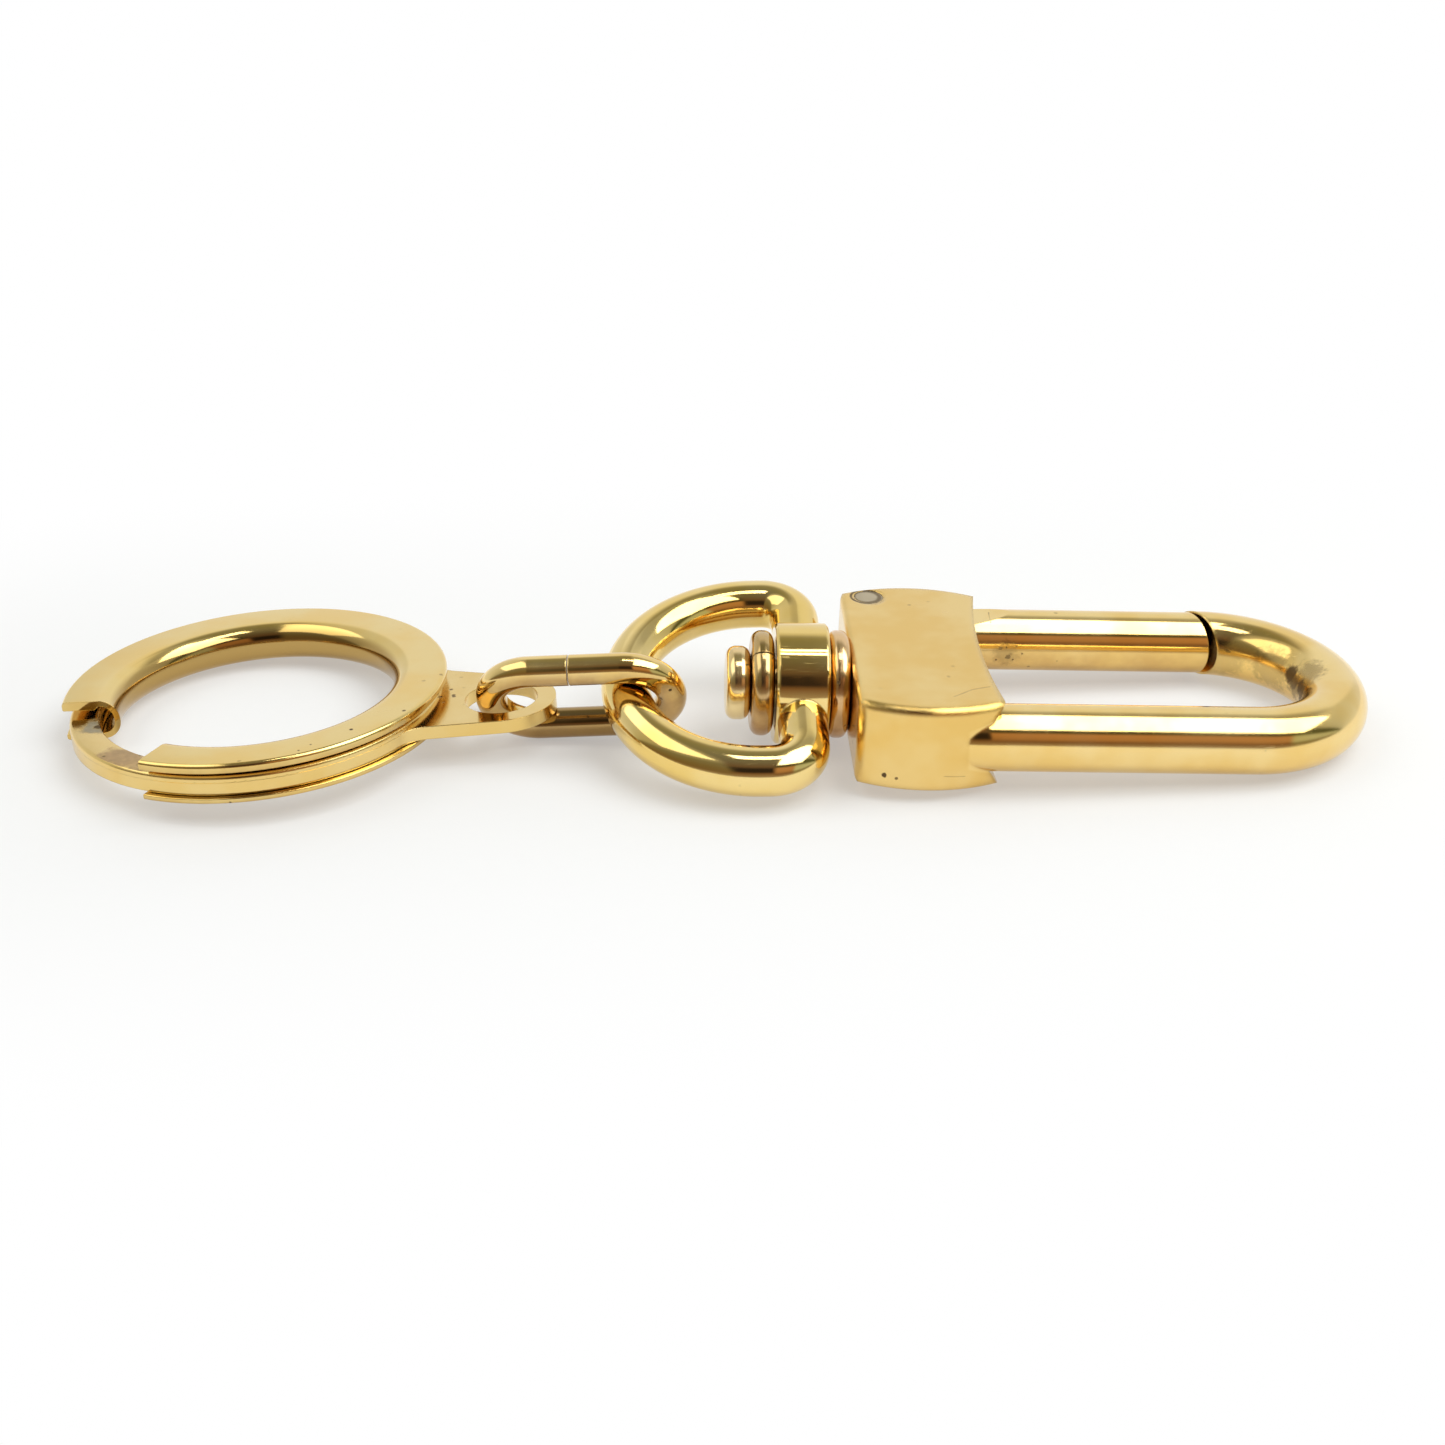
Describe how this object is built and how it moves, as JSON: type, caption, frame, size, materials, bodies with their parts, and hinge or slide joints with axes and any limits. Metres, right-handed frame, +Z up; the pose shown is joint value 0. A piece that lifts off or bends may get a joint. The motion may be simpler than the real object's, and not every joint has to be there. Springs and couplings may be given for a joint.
{
  "type": "carabiner keyring",
  "caption": "Brass snap hook with a sprung gate and a swivelling shackle, joined by an oval link to a key ring that opens by turning its sleeve.",
  "frame": {"origin": "middle of the outline, on the table the object lies on", "axes": "+X along the swivel towards the hook's bow, +Y towards the sprung gate's side, +Z up"},
  "size_m": [0.0998, 0.0306, 0.0094],
  "materials": {
    "cast_gold": "polished gold plate",
    "gate_gold": "polished gold plate",
    "pin_metal": "worn plate, greyed",
    "spring_steel": "bright drawn wire",
    "collar_gold": "coppery worn plate",
    "link_gold": "polished gold plate",
    "plate_gold": "polished, scuffed where keys slide on",
    "sleeve_gold": "polished gold plate, fine specks"
  },
  "bodies": {
    "hook": {"hook_frame": "cast_gold", "gate_pin": "pin_metal", "gate_spring": "spring_steel", "swivel_pin": "cast_gold", "swivel_split_washer": "cast_gold", "swivel_collar": "collar_gold"},
    "gate": {"gate": "gate_gold"},
    "shackle": {"shackle": "cast_gold"},
    "jump_link": {"jump_link": "link_gold"},
    "ring_plate": {"ring_plate": "plate_gold"},
    "ring_sleeve": {"ring_sleeve": "sleeve_gold"}
  },
  "joints": [
    {"name": "gate_hinge", "type": "hinge", "parent": "hook", "child": "gate", "pos_m": [0.01253, 0.00474, 0.0044], "axis": [-0.054, 0, -0.9985], "range_deg": [0, 18], "stiffness_Nm_per_rad": 0.02, "springref_deg": -20.05, "deforming": ["gate_spring"]},
    {"name": "shackle_swivel", "type": "hinge", "parent": "hook", "child": "shackle", "pos_m": [0.00674, -0.00371, 0.00471], "axis": [0.9985, 0, -0.054], "continuous": true},
    {"name": "link_swing", "type": "hinge", "parent": "shackle", "child": "jump_link", "pos_m": [-0.00641, -0.00462, 0.00471], "axis": [-0.0932, 0.9729, 0.2116], "range_deg": [-60, 60]},
    {"name": "ring_swing", "type": "hinge", "parent": "jump_link", "child": "ring_plate", "pos_m": [-0.01297, -0.00411, 0.00484], "axis": [0.1561, 0.8757, 0.457], "range_deg": [-45, 60]},
    {"name": "sleeve_turn", "type": "hinge", "parent": "ring_plate", "child": "ring_sleeve", "pos_m": [-0.03506, 0.00049, 0.00274], "axis": [-0.033, 0.0534, 0.998], "continuous": true}
  ]
}
